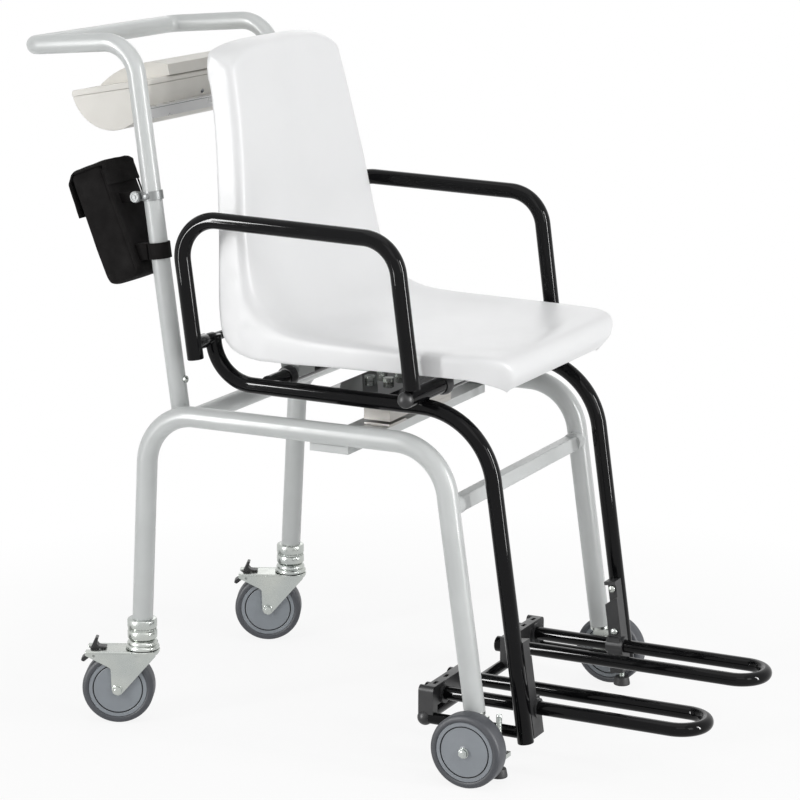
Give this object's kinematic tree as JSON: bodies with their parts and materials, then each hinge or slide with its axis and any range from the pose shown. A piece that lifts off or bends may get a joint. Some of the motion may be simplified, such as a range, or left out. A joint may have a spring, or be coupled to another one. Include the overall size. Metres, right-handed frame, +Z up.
{
  "type": "chair scale",
  "caption": "Wheeled chair scale: tubular frame, moulded seat on a load cell, fold-back armrests, sliding footrests, rear swivel casters and a display under the push handle.",
  "frame": {"origin": "on the floor, under the middle of the whole chair", "axes": "+Z up, -Y the way the sitter faces, -X the sitter's right"},
  "size_m": [0.529, 0.9961, 0.9533],
  "materials": {
    "frame_grey": "satin powder coat",
    "seat_frame_black": "gloss powder coat",
    "zinc": "zinc plated",
    "bar_silver": "satin",
    "cell_aluminium": "milled",
    "head_plastic": "fine texture",
    "window": "smooth",
    "key_rubber": "matte",
    "board": "solder mask",
    "battery": "shrink sleeve",
    "clamp_grey": "satin",
    "pouch_cloth": "woven nylon",
    "rim_grey": "satin",
    "tyre_grey": "matte",
    "black_plastic": "matte",
    "foot_rubber": "matte",
    "seat_white": "semi gloss",
    "seat_foot_grey": "satin"
  },
  "bodies": {
    "frame": {"side_frame_right": "frame_grey", "side_frame_left": "frame_grey", "rear_cross_tube": "frame_grey", "front_cross_bar": "frame_grey", "lower_channel": "frame_grey", "push_handle": "frame_grey", "fasteners": "zinc", "overload_stop": "cell_aluminium", "load_cell": "cell_aluminium", "display_bar": "bar_silver", "display_tray": "head_plastic", "display_cover": "head_plastic", "display_hood": "head_plastic", "display_window": "window", "circuit_board": "board", "battery_pack": "battery", "pouch_clamp": "clamp_grey", "pouch": "pouch_cloth", "pouch_strap": "pouch_cloth", "caster_sockets": "zinc", "caster_heads": "zinc", "front_brackets": "zinc", "front_axles": "zinc", "seat_frame_right": "seat_frame_black", "seat_frame_left": "seat_frame_black", "seat_cross_tubes": "seat_frame_black", "tube_caps": "black_plastic", "upper_channel": "seat_frame_black", "seat_feet": "seat_foot_grey", "seat_shell": "seat_white", "footrest_frame": "seat_frame_black", "slide_blocks": "black_plastic", "footrest_guides": "black_plastic"},
    "armrest_right_body": {"armrest_right": "seat_frame_black"},
    "armrest_left_body": {"armrest_left": "seat_frame_black"},
    "footrest_right_body": {"footrest_right": "seat_frame_black"},
    "footrest_left_body": {"footrest_left": "seat_frame_black"},
    "caster_right": {"fork_right": "zinc", "caster_axle_right": "zinc"},
    "caster_left": {"fork_left": "zinc", "caster_axle_left": "zinc"},
    "rear_wheel_right": {"rear_rim_right": "rim_grey", "rear_tyre_right": "tyre_grey"},
    "rear_wheel_left": {"rear_rim_left": "rim_grey", "rear_tyre_left": "tyre_grey"},
    "brake_right": {"brake_pedal_right": "black_plastic"},
    "brake_left": {"brake_pedal_left": "black_plastic"},
    "front_wheel_right": {"front_rim_right": "rim_grey", "front_tyre_right": "tyre_grey"},
    "front_wheel_left": {"front_rim_left": "rim_grey", "front_tyre_left": "tyre_grey"},
    "stabiliser_right": {"stud_right": "zinc", "foot_right": "foot_rubber"},
    "stabiliser_left": {"stud_left": "zinc", "foot_left": "foot_rubber"},
    "key_left_body": {"key_left": "key_rubber"},
    "key_middle_body": {"key_middle": "key_rubber"},
    "key_right_body": {"key_right": "key_rubber"},
    "flap": {"pouch_flap": "pouch_cloth"}
  },
  "joints": [
    {"name": "armrest_right_swing", "type": "hinge", "parent": "frame", "child": "armrest_right_body", "pos_m": [0, 0.2135, 0.549], "axis": [-1, 0, 0], "range_deg": [0, 95]},
    {"name": "footrest_right_slide", "type": "slide", "parent": "frame", "child": "footrest_right_body", "axis": [0, 1, 0], "range_m": [0, 0.18]},
    {"name": "caster_right_swivel", "type": "hinge", "parent": "frame", "child": "caster_right", "pos_m": [-0.213, 0.313, 0.11], "axis": [0, 0, 1], "continuous": true},
    {"name": "rear_wheel_right_spin", "type": "hinge", "parent": "caster_right", "child": "rear_wheel_right", "pos_m": [-0.22737, 0.34381, 0.05], "axis": [0.9063, 0.4226, 0], "continuous": true},
    {"name": "brake_right_press", "type": "hinge", "parent": "caster_right", "child": "brake_right", "pos_m": [-0.24089, 0.37282, 0.099], "axis": [-0.9063, -0.4226, 0], "range_deg": [0, 12]},
    {"name": "front_wheel_right_spin", "type": "hinge", "parent": "frame", "child": "front_wheel_right", "pos_m": [-0.243, -0.203, 0.05], "axis": [1, 0, 0], "continuous": true},
    {"name": "stabiliser_right_screw", "type": "slide", "parent": "frame", "child": "stabiliser_right", "axis": [0, 0, -1], "range_m": [0, 0.0078]},
    {"name": "armrest_left_swing", "type": "hinge", "parent": "frame", "child": "armrest_left_body", "pos_m": [0, 0.2135, 0.549], "axis": [-1, 0, 0], "range_deg": [0, 95]},
    {"name": "footrest_left_slide", "type": "slide", "parent": "frame", "child": "footrest_left_body", "axis": [0, 1, 0], "range_m": [0, 0.18]},
    {"name": "caster_left_swivel", "type": "hinge", "parent": "frame", "child": "caster_left", "pos_m": [0.213, 0.313, 0.11], "axis": [0, 0, 1], "continuous": true},
    {"name": "rear_wheel_left_spin", "type": "hinge", "parent": "caster_left", "child": "rear_wheel_left", "pos_m": [0.19863, 0.34381, 0.05], "axis": [0.9063, 0.4226, 0], "continuous": true},
    {"name": "brake_left_press", "type": "hinge", "parent": "caster_left", "child": "brake_left", "pos_m": [0.18511, 0.37282, 0.099], "axis": [-0.9063, -0.4226, 0], "range_deg": [0, 12]},
    {"name": "front_wheel_left_spin", "type": "hinge", "parent": "frame", "child": "front_wheel_left", "pos_m": [0.243, -0.203, 0.05], "axis": [1, 0, 0], "continuous": true},
    {"name": "stabiliser_left_screw", "type": "slide", "parent": "frame", "child": "stabiliser_left", "axis": [0, 0, -1], "range_m": [0, 0.0078]},
    {"name": "key_left_press", "type": "slide", "parent": "frame", "child": "key_left_body", "axis": [0, -0.5452, -0.8383], "range_m": [0, 0.0008], "stiffness_N_per_m": 400},
    {"name": "key_middle_press", "type": "slide", "parent": "frame", "child": "key_middle_body", "axis": [0, -0.5452, -0.8383], "range_m": [0, 0.0008], "stiffness_N_per_m": 400},
    {"name": "key_right_press", "type": "slide", "parent": "frame", "child": "key_right_body", "axis": [0, -0.5452, -0.8383], "range_m": [0, 0.0008], "stiffness_N_per_m": 400},
    {"name": "pouch_flap_lift", "type": "hinge", "parent": "frame", "child": "flap", "pos_m": [-0.172, 0.36429, 0.77925], "axis": [1, 0, 0], "range_deg": [0, 70]}
  ]
}
